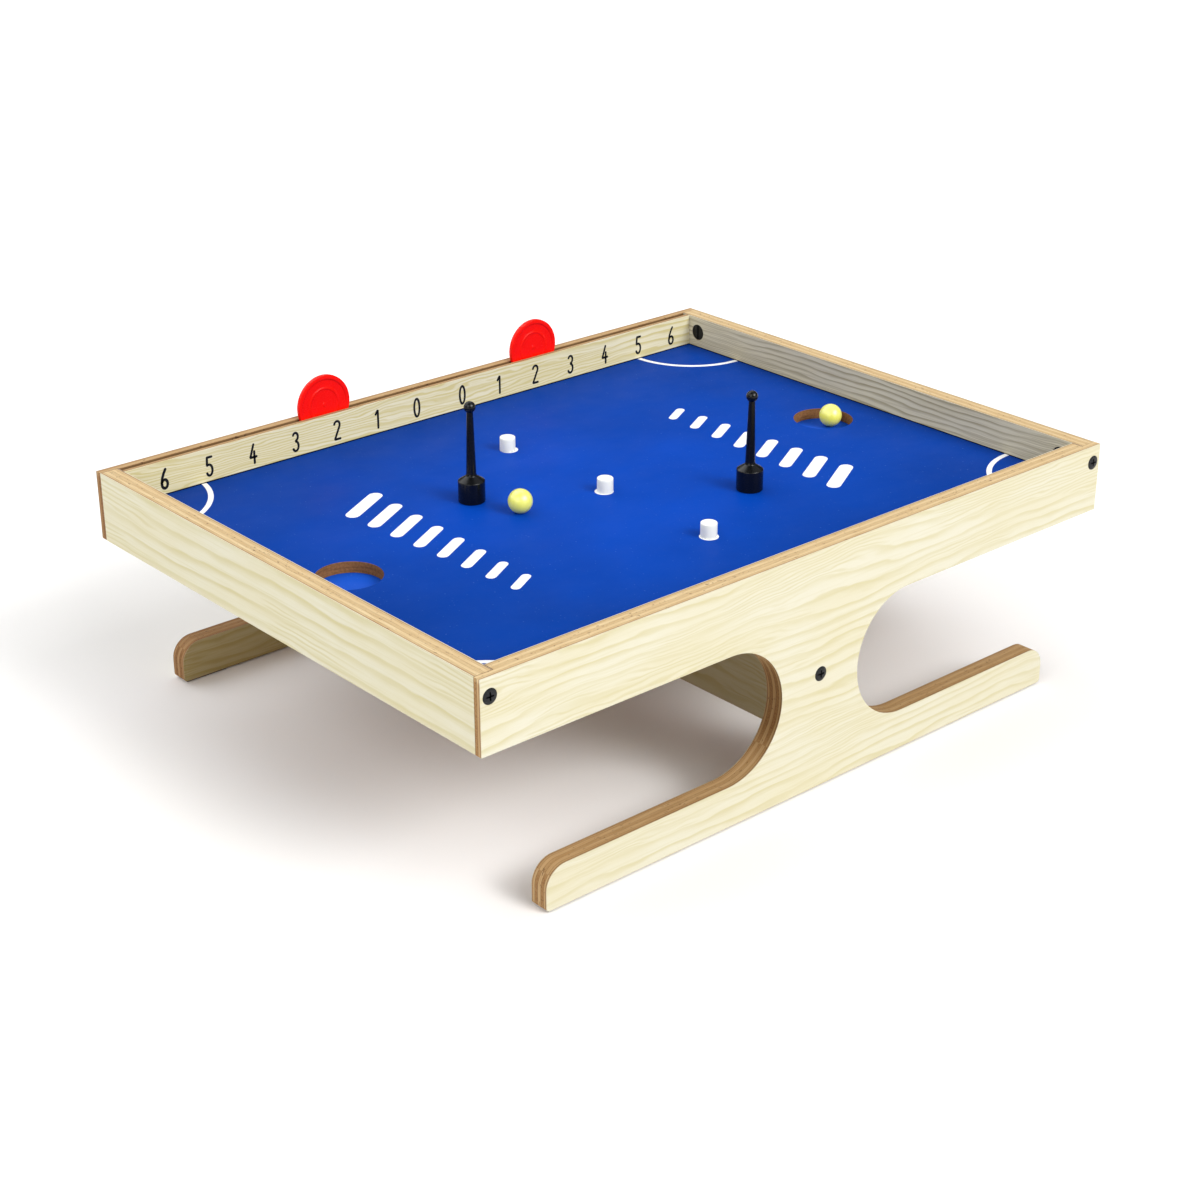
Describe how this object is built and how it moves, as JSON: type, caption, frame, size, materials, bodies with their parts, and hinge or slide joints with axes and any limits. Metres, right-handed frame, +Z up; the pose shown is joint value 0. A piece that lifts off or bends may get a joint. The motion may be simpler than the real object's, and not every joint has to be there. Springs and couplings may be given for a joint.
{
  "type": "magnetic tabletop strike game",
  "caption": "Plywood tray on two side panels with a blue playing board, goal holes, magnet-guided strikers and sliding score discs on a numbered rail.",
  "frame": {"origin": "centre of the footprint, on the surface that the foot pads rest on", "axes": "+X along the long side of the tray, +Y towards the rail with the score discs, +Z up"},
  "size_m": [0.438, 0.331, 0.1736],
  "materials": {
    "pine_plywood": "satin, pale pine veneer with tan plies on the cut edges",
    "blue_board": "satin blue printed face on brown fibreboard",
    "bright_blue_sheet": "satin bright blue face",
    "black_steel": "black oxide, semi-gloss",
    "foot_felt": "matt dark pad",
    "red_plastic": "glossy red moulding",
    "black_plastic": "satin black moulding",
    "yellow_plastic": "satin yellow",
    "white_plastic": "satin white moulding",
    "magnet_plating": "nickel plated magnet"
  },
  "bodies": {
    "table": {"near_side_panel": "pine_plywood", "far_side_panel": "pine_plywood", "left_end_panel": "pine_plywood", "right_end_panel": "pine_plywood", "playing_board": "blue_board", "goal_floor_sheet": "bright_blue_sheet", "cross_panel": "pine_plywood", "near_left_bolt": "black_steel", "near_right_bolt": "black_steel", "far_left_bolt": "black_steel", "far_right_bolt": "black_steel", "near_web_bolt": "black_steel", "far_web_bolt": "black_steel", "near_left_barrel_nut": "black_steel", "near_right_barrel_nut": "black_steel", "far_left_barrel_nut": "black_steel", "far_right_barrel_nut": "black_steel", "near_web_barrel_nut": "black_steel", "far_web_barrel_nut": "black_steel", "near_left_foot_pad": "foot_felt", "near_right_foot_pad": "foot_felt", "far_left_foot_pad": "foot_felt", "far_right_foot_pad": "foot_felt"},
    "left_score_disc": {"left_score_disc": "red_plastic"},
    "right_score_disc": {"right_score_disc": "red_plastic"},
    "left_handle": {"left_handle": "black_plastic", "left_handle_magnet": "magnet_plating"},
    "left_striker": {"left_striker": "black_plastic", "left_striker_magnet": "magnet_plating"},
    "right_handle": {"right_handle": "black_plastic", "right_handle_magnet": "magnet_plating"},
    "right_striker": {"right_striker": "black_plastic", "right_striker_magnet": "magnet_plating"},
    "left_ball": {"left_ball": "yellow_plastic"},
    "right_ball": {"right_ball": "yellow_plastic"},
    "near_biscuit": {"near_biscuit": "white_plastic", "near_biscuit_magnet": "magnet_plating"},
    "centre_biscuit": {"centre_biscuit": "white_plastic", "centre_biscuit_magnet": "magnet_plating"},
    "far_biscuit": {"far_biscuit": "white_plastic", "far_biscuit_magnet": "magnet_plating"}
  },
  "joints": [
    {"name": "left_handle_slide", "type": "slide", "parent": "table", "child": "left_handle", "axis": [1, 0, 0], "range_m": [-0.1298, 0.0452]},
    {"name": "left_striker_slide", "type": "slide", "parent": "table", "child": "left_striker", "axis": [1, 0, 0], "range_m": [-0.1298, 0.0452]},
    {"name": "right_handle_slide", "type": "slide", "parent": "table", "child": "right_handle", "axis": [1, 0, 0], "range_m": [-0.0412, 0.1338]},
    {"name": "right_striker_slide", "type": "slide", "parent": "table", "child": "right_striker", "axis": [1, 0, 0], "range_m": [-0.0412, 0.1338]},
    {"name": "left_score_disc_slide", "type": "slide", "parent": "table", "child": "left_score_disc", "axis": [1, 0, 0], "range_m": [-0.114, 0.057]},
    {"name": "right_score_disc_slide", "type": "slide", "parent": "table", "child": "right_score_disc", "axis": [1, 0, 0], "range_m": [-0.061, 0.11]},
    {"name": "left_ball_lift", "type": "slide", "parent": "table", "child": "left_ball", "axis": [0, 0, 1], "range_m": [0, 0.07]},
    {"name": "right_ball_lift", "type": "slide", "parent": "table", "child": "right_ball", "axis": [0, 0, 1], "range_m": [0, 0.07]},
    {"name": "near_biscuit_lift", "type": "slide", "parent": "table", "child": "near_biscuit", "axis": [0, 0, 1], "range_m": [0, 0.06]},
    {"name": "centre_biscuit_lift", "type": "slide", "parent": "table", "child": "centre_biscuit", "axis": [0, 0, 1], "range_m": [0, 0.06]},
    {"name": "far_biscuit_lift", "type": "slide", "parent": "table", "child": "far_biscuit", "axis": [0, 0, 1], "range_m": [0, 0.06]}
  ],
  "couplings": [
    {"joint": "left_striker_slide", "follows": "left_handle_slide", "ratio": 1},
    {"joint": "right_striker_slide", "follows": "right_handle_slide", "ratio": 1}
  ]
}
